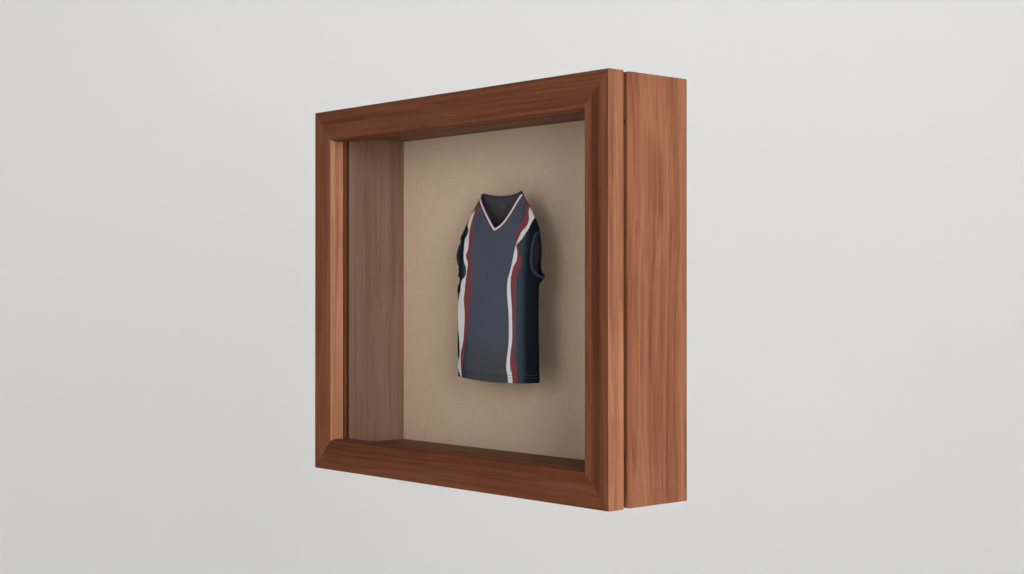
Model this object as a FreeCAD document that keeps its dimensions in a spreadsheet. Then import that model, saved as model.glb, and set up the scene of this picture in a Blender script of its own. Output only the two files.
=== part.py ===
import FreeCAD, Part
import os

import Sketcher
from FreeCAD import Placement, Rotation, Vector

# A wall-hung display case with a hinged, glazed door, and a small sleeveless jersey on a form inside.
# +Z is up and the front faces -Y. The origin is the centre of the back face, where it meets the wall.

DIMENSIONS = {
    # door
    "door_width": 698, "door_height": 600, "door_depth": 31,
    "stile_width": 47.5, "rail_width": 51, "slope_width": 2, "slope_depth": 9,
    "glass_setback": 24.5, "glass_depth": 3, "rebate_width": 7, "glass_clearance": 1,
    "crisp_round": 1.2, "soft_round": 2.8,
    # case
    "door_gap": 7, "case_depth": 122, "case_inset": 0.5, "board": 22,
    "side_wall": 46, "end_wall": 42,
    "panel_depth": 3, "backing_depth": 2.4, "linen_depth": 0.6, "panel_clearance": 0.5,
    # joinery
    "key_long": 30, "key_wide": 14, "key_thick": 5,
    "spline_long": 14, "spline_thick": 4, "spline_deep": 90,
    # hinges
    "hinge_height": 200, "leaf_half": 32, "leaf_width": 22, "leaf_depth": 1.8,
    "knuckle_radius": 3.3, "pin_radius": 1.5, "running_gap": 0.06,
    "barrel_half": 11, "barrel_gap": 0.3, "leaf_screw_reach": 14, "leaf_screw_pitch": 20,
    # fasteners
    "screw_head": 3, "screw_shank": 1.5, "screw_sink": 1.7, "screw_long": 15,
    "slot_half": 0.4, "slot_deep": 0.7,
    "brad_radius": 0.5, "brad_long": 13, "brad_place": 180, "brad_inset": 0.2,
    "panel_screw_side": 230, "panel_screw_end": 150,
    # seals and catches
    "seal_width": 8, "seal_inset": 24, "seal_clearance": 0.3,
    "catch_radius": 6, "catch_height": 230, "catch_inset": 12, "catch_proud": 3.3,
    "catch_sink": 6, "cup_lip": 1, "cup_lip_proud": 0.6, "strike_sink": 2, "strike_bevel": 0.5,
    # blocks under the pane
    "block_half": 15, "block_place": 200,
    # wall hangers
    "hanger_place": 200, "hanger_half": 25, "hanger_depth": 1.5, "hanger_edge": 1.5,
    "keyhole": 4.2, "keyhole_rise": 6.3, "key_slot": 2.2, "key_travel": 7.2,
    "pocket_half": 5.5, "pocket_deep": 11, "hanger_screw_place": 18,
    # jersey and the form that holds it out
    "cloth": 1.5, "cloth_clearance": 0.4, "seam_plane": 45, "form_lift": 8,
    "neck_low": 95, "neck_half": 80, "form_neck_drop": 11,
    "arm_level": 53, "arm_tall": 33, "arm_wide": 8,
    "post_radius": 6, "post_low": -90, "post_high": 30,
    "bolt_radius": 2, "bolt_head": 4, "bolt_sink": 2.4, "bolt_long": 52,
}

# The jersey's girth from the hem up: level, half width, half depth, and its middle's distance from the wall.
GIRTHS = (
    (-141, 95, 16, 53.5),
    (-60, 95, 16, 55),
    (18, 94, 16, 54),
    (60, 97, 15, 51),
    (92, 91, 13, 48),
    (118, 75, 10.5, 46.5),
    (140, 57, 8.5, 46),
    (154, 46, 7, 46),
)

doc = FreeCAD.newDocument("display_case")
sheet = doc.addObject("Spreadsheet::Sheet", "Dims")
finished = []


class Size:
    """A length that carries its number and the spreadsheet expression that it comes from."""

    def __init__(self, text, value):
        self.text = text
        self.value = value

    def join(self, sign, other, value):
        text = other.text if isinstance(other, Size) else str(other)
        return Size(f"({self.text} {sign} {text})", value)

    def __add__(self, other):
        return self.join("+", other, self.value + number(other))

    def __sub__(self, other):
        return self.join("-", other, self.value - number(other))

    def __mul__(self, other):
        return self.join("*", other, self.value * number(other))

    def __truediv__(self, other):
        return self.join("/", other, self.value / number(other))

    def __neg__(self):
        return Size(f"(0 - {self.text})", -self.value)


def number(thing):
    return thing.value if isinstance(thing, Size) else thing


def cell(name):
    return Size(f"Dims.{name}", DIMENSIONS[name])


def fixed(value):
    """A length that isn't a driving dimension, such as one read from the table of girths."""
    return Size(str(value), value)


def fill_sheet():
    """Gives each driving dimension a row, with its name beside it."""
    for row, (name, value) in enumerate(DIMENSIONS.items(), start=1):
        sheet.set(f"A{row}", name)
        sheet.set(f"B{row}", str(value))
        sheet.setAlias(f"B{row}", name)
    doc.recompute()


def bind(obj, path, size):
    """Binds one property to an expression, or sets a plain number."""
    obj.setExpression(path, size.text if isinstance(size, Size) else str(size))


def finish(obj, label, solids=1):
    """Names a finished sub-part and lists it for writing out."""
    obj.Label = label
    finished.append((obj, solids))
    return obj


# ---- general shapes ----

def box(label, x, y, z):
    """A block between pairs of planes, each given as (low, high)."""
    block = doc.addObject("Part::Box", label)
    for side, axis, (low, high) in (("Length", "x", x), ("Width", "y", y), ("Height", "z", z)):
        bind(block, side, high - low)
        bind(block, f"Placement.Base.{axis}", low)
    return block


def rod(label, radius, axis, start, length, at):
    """A cylinder along Y or Z that starts at one plane; at gives its other two coordinates by name."""
    cylinder = doc.addObject("Part::Cylinder", label)
    if axis == "y":
        cylinder.Placement = Placement(Vector(), Rotation(Vector(1, 0, 0), -90))
    bind(cylinder, "Radius", radius)
    bind(cylinder, "Height", length)
    bind(cylinder, f"Placement.Base.{axis}", start)
    for name, place in at.items():
        bind(cylinder, f"Placement.Base.{name}", place)
    return cylinder


def cut(label, base, tool):
    piece = doc.addObject("Part::Cut", label)
    piece.Base = base
    piece.Tool = tool
    return piece


def joined(label, shapes):
    piece = doc.addObject("Part::MultiFuse", label)
    piece.Shapes = shapes
    return piece


def common(label, shapes):
    piece = doc.addObject("Part::MultiCommon", label)
    piece.Shapes = shapes
    return piece


def group(label, links):
    piece = doc.addObject("Part::Compound", label)
    piece.Links = links
    return piece


def body_named(label):
    return doc.addObject("PartDesign::Body", label)


def sketch_on(body, role, offset=None):
    """A sketch on one of the body's own origin planes, moved along the plane's normal."""
    sketch = body.newObject("Sketcher::SketchObject", "outline")
    plane = next(f for f in body.Origin.OriginFeatures if f.Role == role)
    sketch.AttachmentSupport = [(plane, "")]
    sketch.MapMode = "FlatFace"
    if offset is not None:
        bind(sketch, "AttachmentOffset.Base.z", offset)
    return sketch


def pin_point(sketch, geometry, end, spot):
    """Fixes one point of a sketch; a coordinate of plain 0 puts it on that axis."""
    for kind, axis, place in zip(("DistanceX", "DistanceY"), (-2, -1), spot):
        if number(place) == 0:
            sketch.addConstraint(Sketcher.Constraint("PointOnObject", geometry, end, axis))
            continue
        at = sketch.addConstraint(Sketcher.Constraint(kind, -1, 1, geometry, end, float(number(place))))
        bind(sketch, f"Constraints[{at}]", place)


def polygon(sketch, corners):
    """A closed outline of straight lines through the corners."""
    spots = [Vector(number(x), number(y), 0) for x, y in corners]
    count = len(spots)
    for i in range(count):
        sketch.addGeometry(Part.LineSegment(spots[i], spots[(i + 1) % count]), False)
    for i in range(count):
        sketch.addConstraint(Sketcher.Constraint("Coincident", i, 2, (i + 1) % count, 1))
    for i in range(count):
        pin_point(sketch, i, 1, corners[i])


def feature(body, kind, sketch, **sizes):
    """Adds a sketch-based feature to a body and makes it current."""
    step = body.newObject(f"PartDesign::{kind}", kind.lower())
    step.Profile = sketch
    for name, size in sizes.items():
        bind(step, name, size)
    sketch.Visibility = False
    doc.recompute()
    return step


def edges_at(shape, test):
    """The names of the edges whose every end and middle passes the test."""
    names = []
    for i, edge in enumerate(shape.Edges, start=1):
        middle = (edge.FirstParameter + edge.LastParameter) / 2
        spots = [v.Point for v in edge.Vertexes] + [edge.valueAt(middle)]
        if all(test(p) for p in spots):
            names.append(f"Edge{i}")
    return names


def round_off(body, test, radius):
    """Rounds the chosen edges of a body's latest feature."""
    base = body.Tip
    step = body.newObject("PartDesign::Fillet", "round")
    step.Base = (base, edges_at(base.Shape, test))
    bind(step, "Radius", radius)
    doc.recompute()
    return step


def near(a, b):
    return abs(a - number(b)) < 1e-4


def turned(label, profile):
    """A body turned about Y from a profile of (radius, distance along Y) corners."""
    body = body_named(label)
    sketch = sketch_on(body, "XY_Plane")
    polygon(sketch, profile)
    step = body.newObject("PartDesign::Revolution", "turn")
    step.Profile = sketch
    step.ReferenceAxis = (sketch, ["V_Axis"])
    step.Angle = 360
    sketch.Visibility = False
    doc.recompute()
    return body


def link(master, x, y, z, turn=None):
    """Another copy of a master piece, with an optional turn about the origin first."""
    copy = doc.addObject("App::Link", f"{master.Label}_copy")
    copy.LinkedObject = master
    if turn is not None:
        copy.LinkPlacement = Placement(Vector(), turn)
    for axis, place in zip("xyz", (x, y, z)):
        bind(copy, f"LinkPlacement.Base.{axis}", place)
    return copy


fill_sheet()

# ---- planes that several pieces share ----

CASE_FRONT = -cell("case_depth")
DOOR_BACK = CASE_FRONT - cell("door_gap")
DOOR_FRONT = DOOR_BACK - cell("door_depth")
GLASS_FRONT = DOOR_FRONT + cell("glass_setback")
GLASS_BACK = GLASS_FRONT + cell("glass_depth")
PANEL_FRONT = -cell("panel_depth")
BACKING_FRONT = PANEL_FRONT - cell("backing_depth")
LINER_BACK = BACKING_FRONT - cell("linen_depth")
WALL = fixed(0)

DOOR_EDGE = (cell("door_width") / 2, cell("door_height") / 2)
CASE_EDGE = tuple(size - cell("case_inset") for size in DOOR_EDGE)
BOARD_INNER = tuple(size - cell("board") for size in CASE_EDGE)
SPACE_EDGE = (DOOR_EDGE[0] - cell("side_wall"), DOOR_EDGE[1] - cell("end_wall"))
RAIL_INNER = (DOOR_EDGE[0] - cell("stile_width"), DOOR_EDGE[1] - cell("rail_width"))
MITRE_RISE = cell("rail_width") / cell("stile_width")
REBATE_EDGE = (RAIL_INNER[0] + cell("rebate_width"), RAIL_INNER[1] + cell("rebate_width") * MITRE_RISE)
PANEL_EDGE = tuple(size - cell("panel_clearance") for size in BOARD_INNER)

HINGE_X = -DOOR_EDGE[0]
HINGE_Y = CASE_FRONT - cell("door_gap") / 2
SIDES = ("top", "bottom", "left", "right")
FACING_BACK = None
FACING_FRONT = Rotation(Vector(0, 0, 1), 180)

# how far a cutting shape runs past the surface that it cuts
OVERSHOOT = 1


# ---- fasteners: each master points along -Y with its head at the origin ----

def wood_screws():
    """Master countersunk wood screw with a slot, and its plain shape for cutting holes."""
    head, shank = cell("screw_head"), cell("screw_shank")
    plain = turned("screw_hole", [(0, 0), (head, 0), (shank, -cell("screw_sink")),
                                  (shank, head - cell("screw_long")), (0, -cell("screw_long"))])
    slot = box("screw_slot", (-head, head), (-cell("slot_deep"), WALL + OVERSHOOT),
               (-cell("slot_half"), cell("slot_half")))
    return cut("screw_master", plain, slot), plain


def form_bolts():
    """Master of the long slotted bolts that hold the form, and their plain shape."""
    head, shank = cell("bolt_head"), cell("bolt_radius")
    plain = turned("bolt_hole", [(0, 0), (head, 0), (shank, -cell("bolt_sink")),
                                 (shank, -cell("bolt_long")), (0, -cell("bolt_long"))])
    slot = box("bolt_slot", (-head, head), (-cell("slot_deep"), WALL + OVERSHOOT),
               (-cell("slot_half"), cell("slot_half")))
    return cut("bolt_master", plain, slot), plain


def fastened(label, masters, spots, turn):
    """A group of identical fasteners, and a matching group of plain shapes that cut their holes."""
    master, plain = masters
    shown = group(label, [link(master, *spot, turn) for spot in spots])
    holes = group(f"{label}_holes", [link(plain, *spot, turn) for spot in spots])
    finish(shown, label, len(spots))
    return holes


# ---- mitred rings ----

def mitre_corners(side, outer, inner):
    """The four corners, in the XZ plane, of one side of a mitred ring."""
    (ox, oz), (ix, iz) = outer, inner
    return {
        "top": [(-ox, oz), (ox, oz), (ix, iz), (-ix, iz)],
        "bottom": [(-ox, -oz), (-ix, -iz), (ix, -iz), (ox, -oz)],
        "left": [(-ox, -oz), (-ox, oz), (-ix, iz), (-ix, -iz)],
        "right": [(ox, -oz), (ix, -iz), (ix, iz), (ox, oz)],
    }[side]


def mitred(label, side, layers):
    """One side of a mitred ring, built from layers of (outer, inner, front plane, back plane)."""
    body = body_named(label)
    for outer, inner, front, back in layers:
        sketch = sketch_on(body, "XZ_Plane", -back)
        polygon(sketch, mitre_corners(side, outer, inner))
        feature(body, "Pad", sketch, Length=back - front)
    return body


def envelope(label, edge, front, back, front_round):
    """A block with rounded edges that the pieces of a ring are trimmed to."""
    ex, ez = edge
    body = body_named(label)
    sketch = sketch_on(body, "XZ_Plane", -back)
    polygon(sketch, [(-ex, -ez), (ex, -ez), (ex, ez), (-ex, ez)])
    feature(body, "Pad", sketch, Length=back - front)
    round_off(body, lambda p: near(p.y, front), front_round)
    round_off(body, lambda p: near(p.y, back), cell("soft_round"))
    return body


# ---- door ----

def side_of(side, edge):
    """The axis across one side of a ring, and where that side's edge lies on it."""
    along = {"top": "z", "bottom": "z", "left": "x", "right": "x"}[side]
    place = number(edge[1] if along == "z" else edge[0])
    return along, -place if side in ("bottom", "left") else place


def slope_inner_edge(body, side):
    """Bevels the rail's inner front edge gently towards the glass."""
    along, place = side_of(side, RAIL_INNER)
    base = body.Tip
    step = body.newObject("PartDesign::Chamfer", "slope")
    chosen = edges_at(base.Shape, lambda p: near(p.y, DOOR_FRONT) and near(getattr(p, along), place))
    step.Base = (base, chosen)
    step.ChamferType = "Two distances"
    bind(step, "Size", cell("slope_width") if along == "x" else cell("slope_width") * MITRE_RISE)
    bind(step, "Size2", cell("slope_depth"))
    doc.recompute()
    rim = edges_at(step.Shape, lambda p: near(p.y, DOOR_FRONT + cell("slope_depth")))
    if not rim:
        step.FlipDirection = True
        doc.recompute()


def round_outer_edges(body, side):
    """Rounds the rail's outer edges: crisply in front, softly behind."""
    along, place = side_of(side, DOOR_EDGE)
    for y, size in ((DOOR_FRONT, cell("crisp_round")), (DOOR_BACK, cell("soft_round"))):
        round_off(body, lambda p: near(p.y, y) and near(getattr(p, along), place), size)


def corner_keys(label, long, wide, thick, middle_y, at):
    """Four flat keys, one across each mitre, given their sizes across it, along it and along Y."""
    master = box(f"{label}_master", (-long / 2, long / 2), (-thick / 2, thick / 2), (-wide / 2, wide / 2))
    body = group(f"{label}_centred", [master])
    links = []
    for sx in (-1, 1):
        for sz in (-1, 1):
            turn = Rotation(Vector(0, 1, 0), -45 * sx * sz)
            links.append(link(body, at[0] * sx, middle_y, at[1] * sz, turn))
    return finish(group(label, links), label, 4)


def door_frame(screw_holes, strike_holes):
    """The four mitred rails with the rebate that the glass drops into from behind."""
    middle = tuple((outer + inner) / 2 for outer, inner in zip(DOOR_EDGE, RAIL_INNER))
    keys = corner_keys("door_corner_keys", cell("key_long"), cell("key_wide"), cell("key_thick"),
                       (DOOR_FRONT + DOOR_BACK) / 2, middle)
    names = {"top": "door_top_rail", "bottom": "door_bottom_rail",
             "left": "door_left_stile", "right": "door_right_stile"}
    tools = joined("door_cutters", [keys, screw_holes, strike_holes, bead_brads()])
    for side, label in names.items():
        blank = mitred(f"{label}_blank", side, [
            (DOOR_EDGE, REBATE_EDGE, GLASS_FRONT, DOOR_BACK),
            (DOOR_EDGE, RAIL_INNER, DOOR_FRONT, GLASS_FRONT),
        ])
        slope_inner_edge(blank, side)
        round_outer_edges(blank, side)
        finish(cut(label, blank, tools), label)


def bead_brads():
    """Two brads through each glazing bead into its rail."""
    brad = turned("brad_master", [(0, 0), (cell("brad_radius"), 0),
                                  (cell("brad_radius"), -cell("brad_long")), (0, -cell("brad_long"))])
    height = (GLASS_BACK + DOOR_BACK) / 2
    start = tuple(inner + cell("brad_inset") for inner in RAIL_INNER)
    links = []
    for s in (-1, 1):
        for t in (-1, 1):
            links.append(link(brad, cell("brad_place") * t, height, start[1] * s,
                              Rotation(Vector(1, 0, 0), -90 * s)))
            links.append(link(brad, start[0] * s, height, cell("brad_place") * t,
                              Rotation(Vector(0, 0, 1), 90 * s)))
    return finish(group("bead_brads", links), "bead_brads", len(links))


def glazing(brads):
    """The pane, the two blocks that it stands on, and the beads that hold it in."""
    pane_x, pane_z = (size - cell("glass_clearance") for size in REBATE_EDGE)
    finish(box("glass_pane", (-pane_x, pane_x), (GLASS_FRONT, GLASS_BACK), (-pane_z, pane_z)), "glass_pane")
    blocks = []
    for s in (-1, 1):
        middle = cell("block_place") * s
        blocks.append(box("block", (middle - cell("block_half"), middle + cell("block_half")),
                          (GLASS_FRONT, GLASS_BACK), (-REBATE_EDGE[1], -pane_z)))
    finish(group("glass_setting_blocks", blocks), "glass_setting_blocks", 2)
    for side in SIDES:
        label = f"glazing_bead_{side}"
        blank = mitred(f"{label}_blank", side, [(REBATE_EDGE, RAIL_INNER, GLASS_BACK, DOOR_BACK)])
        finish(cut(label, blank, brads), label)


# ---- hinges ----

def leaf(label, sign, spans, bore, level, holes):
    """One hinge leaf: sign is 1 for the case's leaf and -1 for the door's, and spans are its knuckles."""
    near_side = HINGE_Y + cell("door_gap") / 2 * sign
    far_side = near_side - cell("leaf_depth") * sign
    depth = (far_side, near_side) if sign > 0 else (near_side, far_side)
    reach = cell("knuckle_radius") + cell("barrel_gap")
    shapes = [box(f"{label}_plate", (HINGE_X + reach, HINGE_X + cell("leaf_width")), depth,
                  (level - cell("leaf_half"), level + cell("leaf_half")))]
    for low, high in spans:
        shapes.append(box(f"{label}_tab", (HINGE_X, HINGE_X + reach), depth, (level + low, level + high)))
        shapes.append(rod(f"{label}_knuckle", cell("knuckle_radius"), "z", level + low, high - low,
                          {"x": HINGE_X, "y": HINGE_Y}))
    tool = joined(f"{label}_cutters", [
        rod(f"{label}_bore", bore, "z", level - cell("leaf_half") - OVERSHOOT,
            cell("leaf_half") * 2 + 2 * OVERSHOOT, {"x": HINGE_X, "y": HINGE_Y}), holes])
    return finish(cut(label, joined(f"{label}_solid", shapes), tool), label)


def leaf_screw_spots(level, plane):
    """Three screws down the middle of a leaf."""
    x = HINGE_X + cell("leaf_screw_reach")
    return [(x, plane, level + cell("leaf_screw_pitch") * k) for k in (-1, 0, 1)]


def hinges(case_holes, door_holes):
    """Two butt hinges in the gap behind the door's left stile."""
    half, middle, slack = cell("leaf_half"), cell("barrel_half"), cell("barrel_gap")
    for name, s in (("upper", 1), ("lower", -1)):
        level = cell("hinge_height") * s
        leaf(f"{name}_hinge_case_leaf", 1, [(-half, -middle), (middle, half)],
             cell("pin_radius"), level, case_holes)
        leaf(f"{name}_hinge_door_leaf", -1, [(slack - middle, middle - slack)],
             cell("pin_radius") + cell("running_gap"), level, door_holes)
        finish(rod(f"{name}_hinge_pin", cell("pin_radius"), "z", level - half, half * 2,
                   {"x": HINGE_X, "y": HINGE_Y}), f"{name}_hinge_pin")


# ---- catches and seals ----

def catches():
    """Two magnet cups in the case's right edge and their strikes in the door."""
    radius = cell("catch_radius")
    proud, sink = cell("catch_proud"), cell("catch_sink")
    core, shoulder = radius - cell("cup_lip"), proud - cell("cup_lip_proud")
    bevel = cell("strike_bevel")
    cup = turned("cup_master", [(0, proud), (core, proud), (core, shoulder),
                                (radius, shoulder), (radius, -sink), (0, -sink)])
    cup_hole = turned("cup_hole", [(0, proud), (radius, proud), (radius, -sink), (0, -sink)])
    strike_long = proud + cell("strike_sink")
    strike = turned("strike_master", [(0, 0), (radius - bevel, 0), (radius, -bevel),
                                      (radius, -strike_long), (0, -strike_long)])
    x = DOOR_EDGE[0] - cell("catch_inset")
    levels = [cell("catch_height") * s for s in (1, -1)]
    # a cup's rim faces the door, so it is turned to point its face along -Y
    cup_spots = [(x, CASE_FRONT, level) for level in levels]
    strike_spots = [(x, DOOR_BACK + proud, level) for level in levels]
    cups = group("catch_magnets", [link(cup, *spot, FACING_FRONT) for spot in cup_spots])
    finish(cups, "catch_magnets", 2)
    cup_cutters = group("cup_cutters", [link(cup_hole, *spot, FACING_FRONT) for spot in cup_spots])
    strikes = group("catch_strikes", [link(strike, *spot) for spot in strike_spots])
    finish(strikes, "catch_strikes", 2)
    return cup_cutters, strikes


def dust_seals():
    """Soft strips on the case's front edge, just inside the hinges and catches."""
    outer_x, outer_z = (size - cell("seal_inset") for size in DOOR_EDGE)
    inner_x, inner_z = outer_x - cell("seal_width"), outer_z - cell("seal_width")
    depth = (DOOR_BACK + cell("seal_clearance"), CASE_FRONT)
    spans = {
        "top": ((-inner_x, inner_x), (inner_z, outer_z)),
        "bottom": ((-inner_x, inner_x), (-outer_z, -inner_z)),
        "left": ((-outer_x, -inner_x), (-outer_z, outer_z)),
        "right": ((inner_x, outer_x), (-outer_z, outer_z)),
    }
    for side, (x, z) in spans.items():
        finish(box(f"dust_seal_{side}", x, depth, z), f"dust_seal_{side}")


# ---- case ----

def hangers(masters):
    """Keyhole plates let into the top board's back, and their screws."""
    low = BOARD_INNER[1] + cell("hanger_edge")
    high = CASE_EDGE[1] - cell("hanger_edge")
    level = BOARD_INNER[1] + cell("hanger_edge") + cell("keyhole_rise")
    plates, recesses, spots = [], [], []
    for s in (-1, 1):
        middle = cell("hanger_place") * s
        width = (middle - cell("hanger_half"), middle + cell("hanger_half"))
        plate = box("hanger_blank", width, (-cell("hanger_depth"), WALL), (low, high))
        through = (-cell("hanger_depth") - OVERSHOOT, WALL + OVERSHOOT)
        hole = rod("hanger_hole", cell("keyhole"), "y", through[0], through[1] - through[0],
                   {"x": middle, "z": level})
        slot = box("hanger_slot", (middle - cell("key_slot"), middle + cell("key_slot")),
                   through, (level, level + cell("key_travel")))
        top = rod("hanger_top", cell("key_slot"), "y", through[0], through[1] - through[0],
                  {"x": middle, "z": level + cell("key_travel")})
        plates.append((plate, joined("keyhole_shape", [hole, slot, top])))
        recesses.append(plate)
        recesses.append(box("screw_pocket", (middle - cell("pocket_half"), middle + cell("pocket_half")),
                            (-cell("pocket_deep"), WALL), (low, high)))
        for t in (-1, 1):
            spots.append((middle + cell("hanger_screw_place") * t, WALL, (low + high) / 2))
    holes = fastened("hanger_screws", masters, spots, FACING_BACK)
    done = []
    for plate, keyhole in plates:
        done.append(cut("hanger_plate", plate, joined("hanger_cutters", [keyhole, holes])))
    finish(group("hanger_plates", done), "hanger_plates", 2)
    return joined("hanger_recesses", recesses + [holes])


def case_boards(cutters):
    """The four mitred boards of the case, with a spline across each corner."""
    shape = envelope("case_envelope", CASE_EDGE, CASE_FRONT, WALL, cell("soft_round"))
    middle = tuple((outer + inner) / 2 for outer, inner in zip(CASE_EDGE, BOARD_INNER))
    splines = corner_keys("case_corner_splines", cell("spline_long"), cell("spline_thick"),
                          cell("spline_deep"), CASE_FRONT / 2, middle)
    tools = joined("case_cutters", [splines] + cutters)
    for side in SIDES:
        blank = mitred(f"case_{side}_blank", side, [(CASE_EDGE, BOARD_INNER, CASE_FRONT, WALL)])
        trimmed = common(f"case_{side}_trimmed", [blank, shape])
        finish(cut(f"case_{side}", trimmed, tools), f"case_{side}")


def liners(holes):
    """Inner boards that stop short of the back, so the backing is screwed to their rear edges."""
    depth = (CASE_FRONT, LINER_BACK)
    (bx, bz), (sx, sz) = BOARD_INNER, SPACE_EDGE
    spans = {
        "left": ((-bx, -sx), (-bz, bz)),
        "right": ((sx, bx), (-bz, bz)),
        "top": ((-sx, sx), (sz, bz)),
        "bottom": ((-sx, sx), (-bz, -sz)),
    }
    for side, (x, z) in spans.items():
        finish(cut(f"liner_{side}", box(f"liner_{side}_blank", x, depth, z), holes), f"liner_{side}")


def back_screw_spots():
    """Ten screws round the back panel, into the liners."""
    x = (BOARD_INNER[0] + SPACE_EDGE[0]) / 2
    z = (BOARD_INNER[1] + SPACE_EDGE[1]) / 2
    spots = [(x * s, WALL, cell("panel_screw_side") * k) for s in (-1, 1) for k in (-1, 0, 1)]
    spots += [(cell("panel_screw_end") * s, WALL, z * k) for s in (-1, 1) for k in (-1, 1)]
    return spots


def back_layers(holes):
    """Back panel, backing board and the linen on its face, in one stack."""
    ex, ez = PANEL_EDGE
    layers = (("back_panel", PANEL_FRONT, WALL), ("backing_board", BACKING_FRONT, PANEL_FRONT),
              ("backing_linen", LINER_BACK, BACKING_FRONT))
    for label, front, back in layers:
        blank = box(f"{label}_blank", (-ex, ex), (front, back), (-ez, ez))
        finish(cut(label, blank, holes), label)


# ---- jersey and its form ----

def torso(label, grow, below, above):
    """A loft through the girths, grown by a margin and carried past its ends."""
    rings = []
    last = len(GIRTHS) - 1
    for i, (level, half_width, half_depth, out) in enumerate(GIRTHS):
        ring = doc.addObject("Part::Ellipse", f"{label}_ring")
        bind(ring, "MajorRadius", grow + half_width)
        bind(ring, "MinorRadius", grow + half_depth)
        shift = -below if i == 0 else above if i == last else 0
        ring.Placement.Base = Vector(0, -out, level + shift)
        rings.append(ring)
    loft = doc.addObject("Part::Loft", label)
    loft.Sections = rings
    loft.Solid = True
    loft.Ruled = True
    return loft


def neck_wedge(label, drop, back):
    """A V-shaped prism that opens the neck, from the front as far back as a plane."""
    body = body_named(label)
    sketch = sketch_on(body, "XZ_Plane", -back)
    low, half = cell("neck_low") - drop, cell("neck_half")
    polygon(sketch, [(0, low), (half, low + half), (-half, low + half)])
    feature(body, "Pad", sketch, Length=back - DOOR_BACK)
    return body


def arm_holes(label):
    """An upright oval carried through both sides."""
    oval = doc.addObject("Part::Ellipse", f"{label}_oval")
    bind(oval, "MajorRadius", cell("arm_tall"))
    bind(oval, "MinorRadius", cell("arm_wide"))
    reach = GIRTHS[0][1] * 2
    middle = GIRTHS[3][3]
    oval.Placement = Placement(Vector(-reach, -middle, 0), Rotation(Vector(0, 1, 0), 90))
    bind(oval, "Placement.Base.z", cell("arm_level"))
    prism = doc.addObject("Part::Extrusion", label)
    prism.Base = oval
    prism.DirMode = "Custom"
    prism.Dir = Vector(1, 0, 0)
    prism.LengthFwd = reach * 2
    prism.Solid = True
    return prism


def jersey(bolt_holes):
    """The cloth as a thin shell, open at the neck, arms and hem, in a front and a back panel."""
    outer = torso("jersey_outer", fixed(0), 0, 0)
    hollow = torso("jersey_hollow", -cell("cloth"), OVERSHOOT, OVERSHOOT)
    shoulder = fixed(-GIRTHS[-1][3])
    opening = neck_wedge("neck_opening", fixed(0), shoulder)
    cutters = joined("jersey_cutters", [hollow, opening, arm_holes("arm_openings"), bolt_holes])
    shell = cut("jersey_shell", outer, cutters)
    wide = (-fixed(GIRTHS[0][1] * 2), fixed(GIRTHS[0][1] * 2))
    tall = (CASE_FRONT * 2, -CASE_FRONT * 2)
    seam = -cell("seam_plane")
    for label, depth in (("jersey_front", (DOOR_BACK, seam)), ("jersey_back", (seam, WALL))):
        half = common(label, [shell, box(f"{label}_half", wide, depth, tall)])
        finish(half, label)


def jersey_form(bolt_holes):
    """The form stands just inside the cloth, ends above the hem and is scooped out under the neck."""
    loft = torso("form_loft", -(cell("cloth") + cell("cloth_clearance")), 0, 0)
    hem, wide = fixed(GIRTHS[0][0]), fixed(GIRTHS[0][1] * 2)
    under = box("form_foot", (-wide, wide), (DOOR_BACK, WALL),
                (hem - cell("form_lift"), hem + cell("form_lift")))
    scoop = neck_wedge("form_scoop", cell("form_neck_drop"), -cell("cloth"))
    cutters = joined("form_cutters", [under, scoop, bolt_holes])
    finish(cut("jersey_form", loft, cutters), "jersey_form")


def cloth_back(level):
    """How far the back of the cloth stands from the wall at a level between two girths."""
    for (low, _, low_deep, low_out), (high, _, high_deep, high_out) in zip(GIRTHS, GIRTHS[1:]):
        if low <= level <= high:
            share = (level - low) / (high - low)
            return (low_out - low_deep) * (1 - share) + (high_out - high_deep) * share
    raise ValueError(f"no girths at {level}")


def form_posts(bolt_holes):
    """Two spacers that stand the form off the backing, just clear of the cloth."""
    shapes = []
    for level in (cell("post_high"), cell("post_low")):
        ends = (number(level - cell("post_radius")), number(level + cell("post_radius")))
        back = round(min(cloth_back(end) for end in ends), 2)
        front = fixed(-back) + cell("cloth_clearance")
        shapes.append(rod("post_blank", cell("post_radius"), "y", front, LINER_BACK - front,
                          {"x": WALL, "z": level}))
    done = [cut("post", shape, bolt_holes) for shape in shapes]
    finish(group("form_posts", done), "form_posts", 2)


# ---- assembly ----

def build():
    screws = wood_screws()
    case_leaf_face = CASE_FRONT - cell("leaf_depth")
    door_leaf_face = DOOR_BACK + cell("leaf_depth")
    levels = (cell("hinge_height"), -cell("hinge_height"))
    case_spots = [spot for level in levels for spot in leaf_screw_spots(level, case_leaf_face)]
    door_spots = [spot for level in levels for spot in leaf_screw_spots(level, door_leaf_face)]
    case_leaf_holes = fastened("hinge_case_screws", screws, case_spots, FACING_FRONT)
    door_leaf_holes = fastened("hinge_door_screws", screws, door_spots, FACING_BACK)
    hinges(case_leaf_holes, door_leaf_holes)
    cup_cutters, strikes = catches()
    door_frame(door_leaf_holes, strikes)
    glazing(doc.getObjectsByLabel("bead_brads")[0])
    dust_seals()
    case_boards([case_leaf_holes, cup_cutters, hangers(screws)])
    panel_holes = fastened("back_screws", screws, back_screw_spots(), FACING_BACK)
    bolt_spots = [(WALL, WALL, cell("post_high")), (WALL, WALL, cell("post_low"))]
    bolt_holes = fastened("form_bolts", form_bolts(), bolt_spots, FACING_BACK)
    liners(panel_holes)
    back_layers(joined("back_cutters", [panel_holes, bolt_holes]))
    jersey(bolt_holes)
    jersey_form(bolt_holes)
    form_posts(bolt_holes)
    doc.recompute()


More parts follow.
